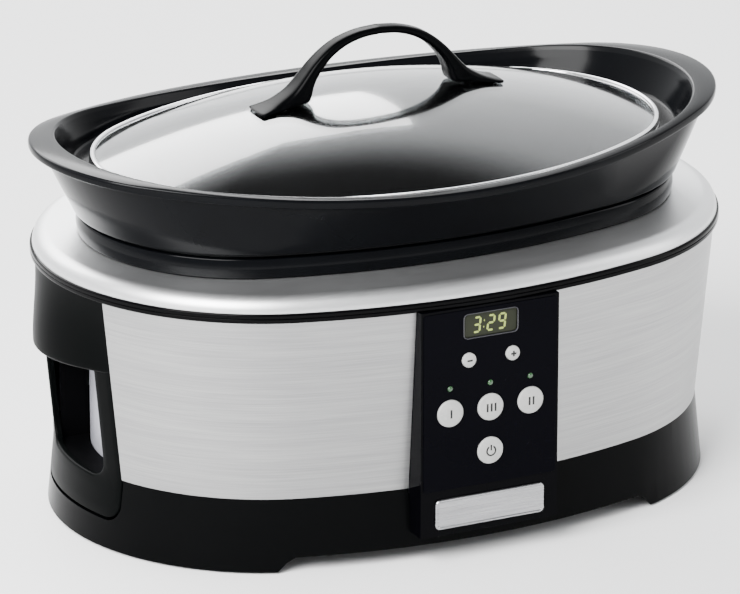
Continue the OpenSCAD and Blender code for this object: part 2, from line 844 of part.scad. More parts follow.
// Domed cap, a flange that keeps it behind the panel, and a stem that meets its switch
module button(r) {
    dome_r = r * 2.6;
    front = overlay_y - button_out;
    flange_y = bezel_back_y + 0.1;
    color([0.8, 0.8, 0.79]) {
        intersection() {
            rod_y(r, front, flange_y + button_flange_t);
            translate([0, front + dome_r, 0]) sphere(r = dome_r, $fn = 96);
        }
        rod_y(r + button_flange, flange_y, flange_y + button_flange_t);
        rod_y(1.8, flange_y, stem_end_y);
    }
}

module minus_button() { panel_places([SMALL[0]]) button(small_r); }

module plus_button() { panel_places([SMALL[1]]) button(small_r); }

module low_button() { panel_places([BIG[0]]) button(big_r); }

module high_button() { panel_places([BIG[1]]) button(big_r); }

module warm_button() { panel_places([BIG[2]]) button(big_r); }

module power_button() { panel_places([BIG[3]]) button(big_r); }

module tact_switches() {
    color([0.25, 0.25, 0.27]) panel_places(concat(BIG, SMALL)) {
        box([-3, board_y - switch_h, -3], [3, board_y, 3]);
        rod_y(1.6, board_y - switch_h - plunger_h, board_y - switch_h + 0.5);
    }
}

led_t = 1.2;

module light_pipes() {
    color([0.4, 0.8, 0.4]) panel_places(LIGHTS) rod_y(light_r, overlay_y, board_y - led_t);
}

module indicator_leds() {
    color([0.85, 0.9, 0.85]) panel_places(LIGHTS) box([-1.6, board_y - led_t, -0.8], [1.6, board_y, 0.8]);
}

module control_board() {
    w = panel_w / 2 - panel_t - 1.5;
    color([0.1, 0.35, 0.2]) difference() {
        box([-w, board_y, board_low_z], [w, board_y + board_t, wrap_top - panel_t - 1]);
        board_posts() rod_y(1.5, board_y - 1, board_y + board_t + 1);
    }
}

module board_screws() {
    back = board_y + board_t;
    color([0.7, 0.7, 0.7]) board_posts() {
        rod_y(1.2, board_y - 6, back + 0.5);
        rod_y(2.6, back, back + 1.4);
    }
}

// ---------------------------------------------------------------- power electronics

module power_board_blank(grow = 0) {
    box([-power_half_w - grow, power_y - grow, power_low_z - grow],
        [power_half_w + grow, power_y + board_t + grow, power_low_z + power_h]);
}

module power_board() { color([0.12, 0.38, 0.2]) power_board_blank(); }

module relay() { color([0.1, 0.15, 0.5]) box([-32, power_y - 15, 84], [-13, power_y, 100]); }

module transformer() { color([0.75, 0.65, 0.2]) box([10, power_y - 16, 78], [36, power_y, 102]); }

module capacitor() {
    color([0.15, 0.15, 0.3]) translate([-26, 0, 66]) rod_y(6, power_y - 14, power_y);
}

module fuse() {
    r = 2.6;
    color([0.85, 0.85, 0.8]) translate([-9, power_y - r - 0.05, 54])
        rotate([0, 90, 0]) cylinder(r = r, h = 20, $fn = 32);
}

block_y = power_y - 19;
block_h = 12;

module terminal_block() {
    color([0.9, 0.9, 0.88]) box([-20, block_y - 7, floor_top], [20, block_y + 7, floor_top + block_h]);
}

cable_x = 20;
cable_w = 10;
cable_t = 1;
cable_z = 18;

module ribbon_cable() {
    rear = power_y - cable_t;
    front = board_y + board_t;
    color([0.75, 0.75, 0.75]) {
        box([cable_x, rear, cable_z], [cable_x + cable_w, rear + cable_t, 56]);
        box([cable_x, front, cable_z], [cable_x + cable_w, rear + cable_t, cable_z + cable_t]);
        box([cable_x, front, cable_z], [cable_x + cable_w, front + cable_t, 62]);
    }
}

lead_r = 1.2;

module element_leads() {
    color([0.9, 0.9, 0.9]) for (s = [-1, 1])
        translate([s * lead_x, 0, lead_z]) rod_y(lead_r, foot[1] - 1, power_y);
}

module mains_leads() {
    z0 = floor_top + block_h;
    z1 = power_low_z + 5;
    color([0.4, 0.25, 0.15]) for (s = [-1, 1]) translate([s * lead_x, block_y, 0]) {
        translate([0, 0, z0]) cylinder(r = lead_r, h = z1 - z0, $fn = 32);
        translate([0, 0, z1]) sphere(r = lead_r, $fn = 32);
        translate([0, 0, z1]) rod_y(lead_r, 0, power_y - block_y);
    }
}

inlet_w = 34;
inlet_low_z = 15;
inlet_high_z = 40;

module cord_inlet_housing() {
    color([0.05, 0.05, 0.055]) difference() {
        along_y(body[1] - wrap_taper - 3, rear_y) translate([0, (inlet_low_z + inlet_high_z) / 2])
            rounded_rect(inlet_w, inlet_high_z - inlet_low_z, 3);
        translate([0, 0, cord_z]) rod_y(gland_r, 0, far);
    }
}

module cord_gland() {
    color([0.08, 0.08, 0.08]) translate([0, 0, cord_z]) difference() {
        rod_y(gland_r, body[1] - wrap_taper - 8, rear_y);
        rod_y(cord_bore_r, 0, far);
    }
}

pot();
lid_glass();
lid_ring();
lid_handle();
lid_handle_screws();
lid_handle_washers();
top_deck();
deck_studs();
trim_ring();
wrap_front_left();
wrap_front_right();
wrap_back();
left_handle();
right_handle();
left_recess_liner();
right_recess_liner();
base_tray();
rubber_feet();
tie_rods();
heating_well();
heating_band();
insulation();
heat_shield();
thermistor();
thermal_fuse();
panel_bezel();
panel_overlay();
display_window();
display_module();
badge_plate();
minus_button();
plus_button();
low_button();
high_button();
warm_button();
power_button();
tact_switches();
light_pipes();
indicator_leds();
control_board();
board_screws();
power_board();
relay();
transformer();
capacitor();
fuse();
terminal_block();
ribbon_cable();
element_leads();
mains_leads();
cord_inlet_housing();
cord_gland();
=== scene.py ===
import json
import math

import bmesh
import bpy
import numpy as np
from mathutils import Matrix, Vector


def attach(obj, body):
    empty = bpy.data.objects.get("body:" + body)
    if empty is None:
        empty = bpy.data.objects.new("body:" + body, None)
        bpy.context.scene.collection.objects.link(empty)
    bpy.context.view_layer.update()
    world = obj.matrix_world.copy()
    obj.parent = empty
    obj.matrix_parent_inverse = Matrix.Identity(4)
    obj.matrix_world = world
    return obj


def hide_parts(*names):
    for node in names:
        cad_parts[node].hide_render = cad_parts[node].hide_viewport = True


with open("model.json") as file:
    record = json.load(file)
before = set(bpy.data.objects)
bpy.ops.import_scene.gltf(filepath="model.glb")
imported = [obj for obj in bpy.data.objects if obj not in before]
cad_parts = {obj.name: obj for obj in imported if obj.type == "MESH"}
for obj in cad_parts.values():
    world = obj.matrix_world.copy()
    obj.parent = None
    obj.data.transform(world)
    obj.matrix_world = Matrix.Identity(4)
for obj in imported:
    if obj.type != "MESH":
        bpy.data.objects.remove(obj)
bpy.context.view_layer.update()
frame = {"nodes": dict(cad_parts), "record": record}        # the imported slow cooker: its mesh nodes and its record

nodes = frame["nodes"]
MM = 0.001


# ---------------------------------------------------------------- Camera
# It stands in front and to the left of the cooker and looks a little down on the lid, through a
# long lens, with the cooker's middle in the middle of its view.
aim = Vector((-4.74, 0.0, 111.12)) * MM
turn, rise, away = math.radians(-25.64), math.radians(19.5), 3.20526
back = Vector((math.sin(turn) * math.cos(rise), -math.cos(turn) * math.cos(rise), math.sin(rise)))
lens = bpy.data.cameras.new("camera")
lens.sensor_width = 36.0
lens.lens = 265.36
lens.clip_end = 60.0
camera = bpy.data.objects.new("camera", lens)
camera.location = aim + away * back
camera.rotation_euler = back.to_track_quat("Z", "Y").to_euler()
bpy.context.scene.collection.objects.link(camera)
bpy.context.scene.camera = camera


# ---------------------------------------------------------------- Floor and light
# A wide pale floor that runs out of view, a pale room, a large soft box over the left shoulder,
# a wide one behind, and a low one at the right that lifts the dark side.
class Link:
    """A node's output that can be reckoned with: each operator adds one Math node."""

    def __init__(self, finish, socket):
        self.finish, self.socket = finish, socket

    def __add__(self, other):
        return self.finish.math("ADD", self, other)

    def __sub__(self, other):
        return self.finish.math("SUBTRACT", self, other)

    def __rsub__(self, other):
        return self.finish.math("SUBTRACT", other, self)

    def __mul__(self, other):
        return self.finish.math("MULTIPLY", self, other)

    def __truediv__(self, other):
        return self.finish.math("DIVIDE", self, other)

    def __abs__(self):
        return self.finish.math("ABSOLUTE", self)

    def __lt__(self, other):
        return self.finish.math("LESS_THAN", self, other)

    def __gt__(self, other):
        return self.finish.math("GREATER_THAN", self, other)

    __radd__ = __add__
    __rmul__ = __mul__


class Finish:
    """A material in the making. Everything that it draws is laid out in the piece's own millimetres."""

    def __init__(self, name):
        self.material = bpy.data.materials.new(name)
        self.material.use_nodes = True
        self.tree = self.material.node_tree
        self.tree.nodes.clear()
        self.place = self.node("ShaderNodeTexCoord", out="Object")

    def node(self, kind, settings=(), sockets=(), out=0):
        made = self.tree.nodes.new(kind)
        for key, value in dict(settings).items():
            if key == "stops":
                ramp = made.color_ramp.elements
                while len(ramp) < len(value):
                    ramp.new(0.5)
                for stop, (at, tone) in zip(ramp, value):
                    stop.position, stop.color = at, (tone, tone, tone, 1.0)
            else:
                setattr(made, key, value)
        for key, value in dict(sockets).items():
            if isinstance(value, Link):
                self.tree.links.new(value.socket, made.inputs[key])
            else:
                made.inputs[key].default_value = value
        return Link(self, made.outputs[out])

    def math(self, operation, a, b=0.0):
        return self.node("ShaderNodeMath", {"operation": operation}, {0: a, 1: b})

    def axes(self):
        """The three object coordinates, in millimetres."""
        return [self.node("ShaderNodeSeparateXYZ", (), {0: self.place}, axis) * 1000.0 for axis in "XYZ"]

    def noise(self, size, detail=2.0, seed=0.0):
        """Soft noise from 0 to 1 whose patches measure size along x, y and z, in millimetres."""
        spread = self.node("ShaderNodeMapping", (), {
            "Vector": self.place, "Location": (seed, seed, seed), "Scale": [1000.0 / s for s in size]})
        return self.node("ShaderNodeTexNoise", (), {"Vector": spread, "Scale": 1.0, "Detail": detail}, "Fac")

    def ramp(self, value, *stops):
        return self.node("ShaderNodeValToRGB", {"stops": stops}, {"Fac": value}, "Color")

    def mix(self, share, first, second):
        """Colour that goes from the first to the second as share goes from 0 to 1."""
        first, second = (c if isinstance(c, Link) else (*c, 1.0) for c in (first, second))
        return self.node("ShaderNodeMix", {"data_type": "RGBA"}, {0: share, 6: first, 7: second}, 2)

    def bump(self, height, depth):
        """Bent normal of a height that goes from 0 to 1 over depth millimetres."""
        return self.node("ShaderNodeBump", (), {"Height": height, "Distance": depth * MM, "Strength": 1.0})

    def close(self, **sockets):
        """Ends the material in one Principled shader, with underscores for the spaces in its sockets."""
        named = {key.replace("_", " "): value for key, value in sockets.items()}
        shader = self.node("ShaderNodeBsdfPrincipled", (), named)
        output = self.tree.nodes.new("ShaderNodeOutputMaterial")
        self.tree.links.new(shader.socket, output.inputs["Surface"])
        return self.material


def link_object(name, mesh, material):
    thing = bpy.data.objects.new(name, mesh)
    bpy.context.scene.collection.objects.link(thing)
    mesh.materials.append(material)
    return thing


pale = Finish("pale_floor")
patches = pale.noise((900, 900, 900))
floor_finish = pale.close(Base_Color=pale.mix(patches, (0.86, 0.86, 0.86), (0.9, 0.9, 0.9)),
                          Roughness=0.75 + 0.1 * patches)
floor_mesh = bpy.data.meshes.new("floor")
floor_mesh.from_pydata([(-9, -9, 0), (9, -9, 0), (9, 9, 0), (-9, 9, 0)], [], [(0, 1, 2, 3)])
link_object("floor", floor_mesh, floor_finish)

world = bpy.data.worlds.new("pale_room")
world.use_nodes = True
room = world.node_tree
facing = room.nodes.new("ShaderNodeSeparateXYZ")
room.links.new(room.nodes.new("ShaderNodeTexCoord").outputs["Generated"], facing.inputs[0])
glow = room.nodes.new("ShaderNodeMath")
glow.operation = "MULTIPLY"
for k, (axis, span) in enumerate([("Y", (-0.6, 0.9, 0.9, 2.4)), ("Z", (0.68, 0.86, 1.0, 0.06))]):
    fade = room.nodes.new("ShaderNodeMapRange")      # brighter at the back, dark overhead
    fade.interpolation_type = "SMOOTHSTEP"
    for key, value in zip(("From Min", "From Max", "To Min", "To Max"), span):
        fade.inputs[key].default_value = value
    room.links.new(facing.outputs[axis], fade.inputs["Value"])
    room.links.new(fade.outputs["Result"], glow.inputs[k])
room.nodes["Background"].inputs["Color"].default_value = (0.97, 0.985, 1.0, 1.0)
room.links.new(glow.outputs[0], room.nodes["Background"].inputs["Strength"])
bpy.context.scene.world = world

for name, place, size, power in [("key_box", (-1.9, -1.2, 2.0), (1.8, 1.8), 300.0),
                                 ("back_box", (-0.2, 2.8, 2.2), (3.6, 1.6), 190.0),
                                 ("side_box", (2.4, -1.2, 1.1), (0.8, 1.8), 25.0)]:
    soft_box = bpy.data.lights.new(name, "AREA")
    soft_box.shape = "RECTANGLE"
    soft_box.size, soft_box.size_y = size
    soft_box.energy = power
    lamp = bpy.data.objects.new(name, soft_box)
    lamp.location = place
    lamp.rotation_euler = (Vector(place) - aim).to_track_quat("Z", "Y").to_euler()
    bpy.context.scene.collection.objects.link(lamp)


# ---------------------------------------------------------------- Base tray, feet and cord inlet
# Moulded black skirt with a toe cut-out front and back, standing on four rubber feet, and the
# housing of the cord inlet at the rear. Each is the engineered solid with its edges made smooth.
def whole_solid(name, node, body, material, edge=0.0, sharp=32):
    """Copy of an engineered solid: its loose triangles are joined, its flats are made whole again,
    and its sharp edges get a small round of the given size."""
    mesh = nodes[node].data.copy()
    mesh.name = name
    mesh.materials.clear()
    work = bmesh.new()
    work.from_mesh(mesh)
    bmesh.ops.remove_doubles(work, verts=work.verts, dist=2e-6)
    bmesh.ops.dissolve_limit(work, angle_limit=math.radians(0.4), verts=work.verts, edges=work.edges)
    work.to_mesh(mesh)
    work.free()
    mesh.shade_smooth()
    mesh.set_sharp_from_angle(angle=math.radians(sharp))
    piece = link_object(name, mesh, material)
    if edge:
        soft = piece.modifiers.new("soft_edges", "BEVEL")
        soft.width = edge * MM
        soft.segments = 3
        soft.limit_method = "ANGLE"
        soft.angle_limit = math.radians(sharp)
        soft.harden_normals = True
    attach(piece, body)
    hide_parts(node)
    return piece


def moulded(name, light, dark, rough, swing=0.06, grain=0.6, depth=0.012, metal=0.0, **rest):
    """Plain finish with slow cloudy changes of tone and gloss, and a fine grain in its surface."""
    made = Finish(name)
    clouds = made.noise((38, 38, 38), 3.0)
    fine = made.noise((grain, grain, grain), 2.0, 3.0)
    return made.close(Base_Color=made.mix(clouds, dark, light), Roughness=rough + swing * (clouds - 0.5),
                      Metallic=metal, Normal=made.bump(fine, depth), **rest)


base_black = moulded("base_black", (0.0008, 0.0009, 0.001), (0.0004, 0.0005, 0.0006), 0.22, 0.08, 0.9, 0.004,
                     Specular_IOR_Level=0.03)
black_rubber = moulded("black_rubber", (0.022, 0.022, 0.022), (0.014, 0.014, 0.014), 0.82, 0.1, 0.5, 0.03)
whole_solid("base_skirt_and_floor", "base_tray", "base", base_black, 0.5)
whole_solid("standing_feet", "rubber_feet", "base", black_rubber, 0.8)
whole_solid("cord_inlet_block", "cord_inlet_housing", "base", base_black, 0.8)
whole_solid("cord_inlet_sleeve", "cord_gland", "base", black_rubber, 0.5)


# ---------------------------------------------------------------- Steel wrap
# Brushed stainless sheet, 1 mm thick, drawn in towards its foot. Two pieces run from the panel
# round to the end handles and one runs round the back; they tuck under the trim and the base.
BODY = np.array([206.0, 144.0, 134.0])       # half length, half depth and end radius at the top edge
WRAP_LOW, WRAP_TOP, TAPER = 44.0, 153.5, 9.5


def outline(shape, t):
    """Oval of four tangent arcs. An end arc has radius r about a point a - r from the middle, and a
    side arc has radius R = ((a - r)^2 + b^2 - r^2) / 2(b - r) about a point R - b beyond the middle.
    The point returned is the one whose outward normal stands at angle t."""
    a, b, r = (np.asarray(shape, float)[..., k, None] for k in range(3))
    reach = a - r
    wide = (reach ** 2 + b ** 2 - r ** 2) / (2.0 * (b - r))
    shift = wide - b
    c, s = np.cos(t), np.sin(t)
    on_end = np.abs(c) > np.cos(np.arctan2(shift, reach))
    x = np.where(on_end, np.sign(c) * reach + r * c, wide * c)
    y = np.where(on_end, r * s, wide * s - np.sign(s) * shift)
    return x, y


def side_radius(shape):
    """Radius of an outline's two side arcs: ((a - r)^2 + b^2 - r^2) / 2(b - r)."""
    a, b, r = np.asarray(shape, float).T
    return ((a - r) ** 2 + b ** 2 - r ** 2) / (2.0 * (b - r))


def build(name, sheets, body, material, stands_for=(), sharp=35.0):
    """Joins grids of points, in millimetres, into one closed mesh. Each sheet is the grid and whether
    its rows and its columns come round to meet. Poles and seams are merged, then faces turned out."""
    points, faces, count = [], [], 0
    for grid, round_rows, round_columns in sheets:
        rows, columns = grid.shape[:2]
        r, c = np.meshgrid(np.arange(rows - (not round_rows)), np.arange(columns - (not round_columns)),
                           indexing="ij")
        r2, c2 = (r + 1) % rows, (c + 1) % columns
        quads = np.stack([r * columns + c, r * columns + c2, r2 * columns + c2, r2 * columns + c], -1)
        points.append(grid.reshape(-1, 3))
        faces.append(count + quads.reshape(-1, 4))
        count += rows * columns
    mesh = bpy.data.meshes.new(name)
    mesh.from_pydata((np.concatenate(points) * MM).tolist(), [], np.concatenate(faces).tolist())
    work = bmesh.new()
    work.from_mesh(mesh)
    bmesh.ops.remove_doubles(work, verts=work.verts, dist=2e-6)
    bmesh.ops.recalc_face_normals(work, faces=work.faces)
    work.to_mesh(mesh)
    work.free()
    mesh.shade_smooth()
    mesh.set_sharp_from_angle(angle=math.radians(sharp))
    piece = link_object(name, mesh, material)
    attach(piece, body)
    if stands_for:
        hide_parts(*stands_for)
    return piece


def end_caps(grid):
    """Flat grids that close the two ends of a tube whose rows come round: each joins the first half
    of an end's loop to the second half, taken backwards."""
    half = grid.shape[0] // 2
    return [(np.stack([grid[:half, k], grid[half:, k][::-1]]), False, False) for k in (0, -1)]


def brushed_steel(name, light, dark, rough, streak):
    """Fine grain drawn out along x and y and a fraction of a millimetre high, in two sizes, with
    slow bands of tone behind it."""
    made = Finish(name)
    fine = made.noise(streak, 3.0)
    coarse = made.noise([s * f for s, f in zip(streak, (1.6, 1.6, 5.0))], 2.0, 7.0)
    slow = made.noise((90, 90, 160), 1.0, 11.0)
    grain = 0.6 * fine + 0.4 * coarse
    tone = made.ramp(0.75 * grain + 0.25 * slow, (0.32, 0.0), (0.68, 1.0))
    return made.close(Base_Color=made.mix(tone, dark, light), Metallic=1.0,
                      Roughness=rough + 0.16 * (fine - 0.5), Normal=made.bump(grain, 0.012))


wrap_steel = brushed_steel("brushed_wrap", (0.38, 0.38, 0.375), (0.25, 0.25, 0.255), 0.33, (46.0, 46.0, 0.6))


def wrap_piece(name, node, columns, span):
    """Cone between the outline at the top and the outline drawn in at the foot; span gives, for each
    row's outline, the first and last normal angle, so that the cut ends come out straight."""
    drop = np.array([TAPER, 0.0, 0.0, TAPER])
    skin = np.array([0.0, 0.0, 1.0, 1.0])
    shape = BODY - (drop + skin)[:, None]
    z = np.array([WRAP_LOW, WRAP_TOP, WRAP_TOP, WRAP_LOW])
    first, last = span(shape)
    t = first[:, None] + (last - first)[:, None] * np.linspace(0.0, 1.0, columns)
    x, y = outline(shape, t)
    grid = np.stack([x, y, np.broadcast_to(z[:, None], x.shape)], -1)
    build(name, [(grid, True, False)] + end_caps(grid), "base", wrap_steel, [node])


PANEL_EDGE, GRIP_EDGE = 43.8, 50.3


def front_span(shape):
    """Normal angles at which a front sheet meets the end handle and the panel: each edge stands a set
    distance from a middle line, so its angle is the arc sine of that distance over the arc's radius."""
    at_grip = -math.pi + np.arcsin(GRIP_EDGE / shape[:, 2])
    at_panel = -0.5 * math.pi - np.arcsin(PANEL_EDGE / side_radius(shape))
    return at_grip, at_panel


wrap_piece("front_wrap_left", "wrap_front_left", 140, front_span)
wrap_piece("front_wrap_right", "wrap_front_right", 140,
           lambda shape: [-math.pi - t for t in front_span(shape)])
wrap_piece("rear_wrap", "wrap_back", 300,
           lambda shape: (np.arcsin(GRIP_EDGE / shape[:, 2]), math.pi - np.arcsin(GRIP_EDGE / shape[:, 2])))


# ---------------------------------------------------------------- Trim band
# Gloss black moulded band over the wrap's top edge, with a fine groove round its middle and
# rounded edges above and below.
def all_round(shape, side=80, end=110):
    """Normal angles round an outline, with the points shared out between its long and short arcs."""
    a, b, r = shape
    join = math.atan2(float(side_radius(shape)) - b, a - r)
    t = [np.linspace(join, math.pi - join, side, endpoint=False),
         np.linspace(math.pi - join, math.pi + join, end, endpoint=False),
         np.linspace(math.pi + join, 2.0 * math.pi - join, side, endpoint=False),
         np.linspace(-join, join, end, endpoint=False)]
    return np.concatenate(t)


def rounded(points, reach, steps=5):
    """Replaces each corner of an open run of points by a curve of second degree that leaves the run
    `reach` before the corner and joins it `reach` after, or at 0.45 of a shorter side."""
    points = np.asarray(points, float)
    reach = np.broadcast_to(reach, len(points))
    before, corner, after = points[:-2], points[1:-1], points[2:]
    to_before, to_after = before - corner, after - corner
    length = [np.linalg.norm(v, axis=1, keepdims=True) for v in (to_before, to_after)]
    cut = [np.minimum(reach[1:-1, None], 0.45 * n) / n for n in length]
    start, finish = corner + cut[0] * to_before, corner + cut[1] * to_after
    u = np.linspace(0.0, 1.0, steps)[None, :, None]
    curve = (1 - u) ** 2 * start[:, None] + 2 * u * (1 - u) * corner[:, None] + u ** 2 * finish[:, None]
    return np.concatenate([points[:1], curve.reshape(-1, points.shape[1]), points[-1:]])


def swept(profile, shape, t):
    """Profile of (distance outside the outline, height) carried round the outline, as a grid."""
    profile = np.asarray(profile, float)
    x, y = outline(np.asarray(shape)[None, :] + profile[:, :1], t[None, :])
    return np.stack([x, y, np.broadcast_to(profile[:, 1:2], x.shape)], -1)


TRIM_LOW, TRIM_TOP = 153.5, 159.0
gloss_black = moulded("gloss_black", (0.0012, 0.0012, 0.0014), (0.0008, 0.0008, 0.001), 0.07, 0.04, 1.4,
                      0.002, Specular_IOR_Level=0.04)
trim_profile = rounded([(-2.9, TRIM_LOW), (2.6, TRIM_LOW), (2.6, 156.0), (2.1, 156.25), (2.6, 156.5),
                        (2.6, TRIM_TOP), (-2.9, TRIM_TOP)], [0, 1.1, 0.2, 0.15, 0.2, 1.1, 0])
round_body = all_round(BODY)
build("trim_band", [(swept(trim_profile, BODY, round_body), True, True)], "base", gloss_black,
      ["trim_ring"], 45)


# ---------------------------------------------------------------- Deck
# Satin stainless sheet, pressed to roll down over the trim and in to the pot's opening. The pot's
# foot band rests on it.
DECK_Z, ROLL = 168.0, 9.0
FOOT = np.array([182.0, 110.0, 98.0])        # outline of the pot's foot band
quarter = np.radians(np.arange(0, 91, 6))
roll = np.stack([1.2 - ROLL + ROLL * np.cos(quarter), TRIM_TOP + ROLL * np.sin(quarter)], 1)
bend = ROLL - 1                              # radius of the roll's inner face
under = np.stack([1.2 - ROLL + bend * np.cos(quarter), TRIM_TOP + bend * np.sin(quarter)], 1)[::-1]


def deck_grid():
    """Roll and flat as rows, outside first: the flat's rows go from the outer outline to the hole's
    outline in even steps, and the underside follows 1 mm below."""
    hole = FOOT - 15.0
    top, low = swept(roll, BODY, round_body), swept(under, BODY, round_body)
    inner = np.stack([*outline(hole, round_body), np.full(len(round_body), DECK_Z)], -1)
    share = np.linspace(0.0, 1.0, 9)[1:, None, None]
    flat = top[-1] + (inner - top[-1]) * share
    return np.concatenate([top, flat, flat[::-1] - [0.0, 0.0, 1.0], low])


satin = Finish("satin_steel")
cloud = satin.noise((70, 70, 70), 2.0)
fine_satin = satin.noise((9.0, 1.1, 1.1), 3.0, 5.0)
satin_tone = satin.mix(0.6 * cloud + 0.4 * fine_satin, (0.66, 0.665, 0.67), (0.76, 0.765, 0.77))
satin_steel = satin.close(Base_Color=satin_tone, Metallic=1.0,
                          Roughness=0.38 + 0.1 * (fine_satin - 0.5) + 0.06 * cloud,
                          Normal=satin.bump(fine_satin, 0.006))
build("deck_sheet", [(deck_grid(), True, True)], "base", satin_steel, ["top_deck"], 40)


# ---------------------------------------------------------------- End handles
# Satin black mouldings let into each end: two posts and a sill round a finger opening, and an
# apron over its top that swells out at the middle and ends in a rounded lip.
satin_black = moulded("satin_black", (0.0011, 0.0014, 0.0014), (0.0006, 0.0008, 0.0008), 0.36, 0.08, 0.7,
                      0.01, Specular_IOR_Level=0.02)
END_C, END_R = BODY[0] - BODY[2], BODY[2]
SKIRT_SPLAY, SKIRT_LOW = 4.5, 1.2


def wall_offset(z):
    """How far the wrap and, below it, the skirt stand outside the top outline at height z."""
    wrap = -TAPER * (WRAP_TOP - z) / (WRAP_TOP - WRAP_LOW)
    skirt = -TAPER + SKIRT_SPLAY * (WRAP_LOW - z) / (WRAP_LOW - SKIRT_LOW)
    return np.where(z >= WRAP_LOW, wrap, skirt)


def on_end(y, z, out, side):
    """Point of an end at width y and height z, `out` outside the top outline; side is -1 or 1."""
    x = END_C + np.sqrt((END_R + out) ** 2 - y ** 2)
    return np.stack([side * x, y, z], -1)


def u_path(half, low, radius, top):
    """Line down one side of a U, round its corner, along its foot and up the other side."""
    corner = np.radians(np.linspace(0.0, 90.0, 12))
    left = np.stack([np.full(26, -half), np.linspace(top, low + radius, 26)], 1)
    turn_left = np.stack([-half + radius * (1 - np.cos(corner)), low + radius * (1 - np.sin(corner))], 1)[1:]
    foot = np.stack([np.linspace(-half + radius, half - radius, 22), np.full(22, low)], 1)[1:-1]
    right = np.concatenate([left, turn_left])[::-1] * [-1, 1]
    return np.concatenate([left, turn_left, foot, right])


GRIP_HALF, GRIP_LOW, OPEN_HALF, OPEN_LOW = 50.0, 19.0, 36.5, 41.0
APRON_LOW, APRON_OUT = 109.0, 8.0


def grip_frame(side):
    """Band between the outer U and the opening's U. Its section has rounded front edges: distances
    are measured in from either edge, and depths back from the face of the wrap."""
    outer, inner = u_path(GRIP_HALF, GRIP_LOW, 10.0, WRAP_TOP), u_path(OPEN_HALF, OPEN_LOW, 12.0, WRAP_TOP)
    across = inner - outer
    width = np.linalg.norm(across, axis=1, keepdims=True)
    section = [(0.0, -3.0), (0.0, -1.1), (0.15, -0.5), (0.5, -0.15), (1.1, 0.0)]
    rows = [(outer + across / width * d, h) for d, h in section]
    rows += [(outer + across * f, 0.0) for f in (0.3, 0.5, 0.7)]
    rows += [(inner - across / width * d * 1.8, h * 1.3) for d, h in section[::-1]]
    grid = np.stack([on_end(p[:, 0], p[:, 1], wall_offset(p[:, 1]) + h, side) for p, h in rows])
    return [(grid, True, False)]


def grip_apron(side):
    """Shield over the opening. Its face stands wall + (out - wall) * (1 - (y / half)^2)^1.3 outside,
    where out grows as a sine from the trim down to the lip; the lip is a half round."""
    thick = 4.0
    down = np.linspace(0.0, 1.0, 22)
    lip = np.radians(np.linspace(0.0, 180.0, 14))
    lip_z = APRON_LOW + 0.5 * thick
    z = np.concatenate([WRAP_TOP + (lip_z - WRAP_TOP) * down, lip_z - 0.5 * thick * np.sin(lip[1:-1]),
                        (WRAP_TOP + (lip_z - WRAP_TOP) * down)[::-1]])
    back_off = np.concatenate([np.zeros(22), 0.5 * thick * (1 - np.cos(lip[1:-1])), np.full(22, thick)])
    y = GRIP_HALF * np.sin(np.linspace(-0.5, 0.5, 61) * math.pi)
    z, y = z[:, None], y[None, :]
    drop = np.clip((WRAP_TOP - z) / (WRAP_TOP - lip_z), 0.0, 1.0)
    out = APRON_OUT * np.sin(0.5 * math.pi * drop ** 1.1)
    wall = wall_offset(z)
    swell = (1.0 - (y / GRIP_HALF) ** 2) ** 1.3
    face = wall + (out - wall) * swell + 0.12
    z, y, off = np.broadcast_arrays(z, y, face - back_off[:, None])
    grid = on_end(y, z, off, side)
    return [(grid, True, False)] + end_caps(grid)


for side, hand in ((-1, "left"), (1, "right")):
    build(f"{hand}_end_grip", grip_frame(side) + grip_apron(side), "base", satin_black,
          [f"{hand}_handle"], 50)


# ---------------------------------------------------------------- Pot
# Cast aluminium pot with a black non-stick coat: a foot band that rests on the deck, a groove, a
# wall that flares to a flat rim, wide at the ends and narrow at the sides, which rises to both ends.
RIM = np.array([212.0, 128.5, 89.0])
RIM_IN = np.array([195.0, 120.3, 97.0])
FLARE = np.array([204.0, 125.5, 95.0])
LEDGE = np.array([185.0, 118.0, 95.0])
MOUTH = np.array([170.0, 104.0, 92.0])
RIM_Z, SADDLE, RIM_T = 215.0, 13.5, 5.0


def pot_rows():
    """Rings from the middle of the underside out, up the wall, over the rim and down to the middle
    of the floor. A row is an outline, a height, a rise that grows with (x / half length)^2, and a
    size that is 0 at the two poles."""
    seat = DECK_Z + 0.4
    flare_low = 184.5
    rows = [(FOOT - 40, 36, 0, 0), (FOOT - 26, 36, 0, 1), (FOOT - 19, 41, 0, 1), (FOOT - 19, seat, 0, 1),
            (FOOT, seat, 0, 1), (FOOT + 0.8, 174, 0, 1), (FOOT - 0.2, 180, 0, 1), (FOOT - 2.6, 180.5, 0, 1),
            (FOOT - 2.6, 182.6, 0, 1), (FOOT + 2.6, 183.1, 0, 1)]
    for f in (0.14, 0.3, 0.5, 0.7, 0.87, 1.0):
        shape = FOOT + 3.2 + (FLARE - FOOT - 3.2) * f ** 1.15
        rows.append((shape, flare_low + (RIM_Z - RIM_T - 0.6 - flare_low) * f, SADDLE * f ** 1.6, 1))
    rows += [(RIM, RIM_Z - RIM_T, SADDLE, 1), (RIM, RIM_Z, SADDLE, 1), (RIM_IN, RIM_Z - 0.2, SADDLE, 1),
             (RIM_IN - 3.0, RIM_Z - 5.0, SADDLE * 0.8, 1), (LEDGE, 206, 0, 1), (MOUTH, 206, 0, 1),
             (MOUTH - 2, 203, 0, 1), (MOUTH - 2, 192, 0, 1), (FOOT - 22, 173, 0, 1), (FOOT - 22, 46, 0, 1),
             (FOOT - 30, 39.5, 0, 1), (FOOT - 44, 39.5, 0, 0)]
    return np.array([(*shape, z, up, size) for shape, z, up, size in rows])


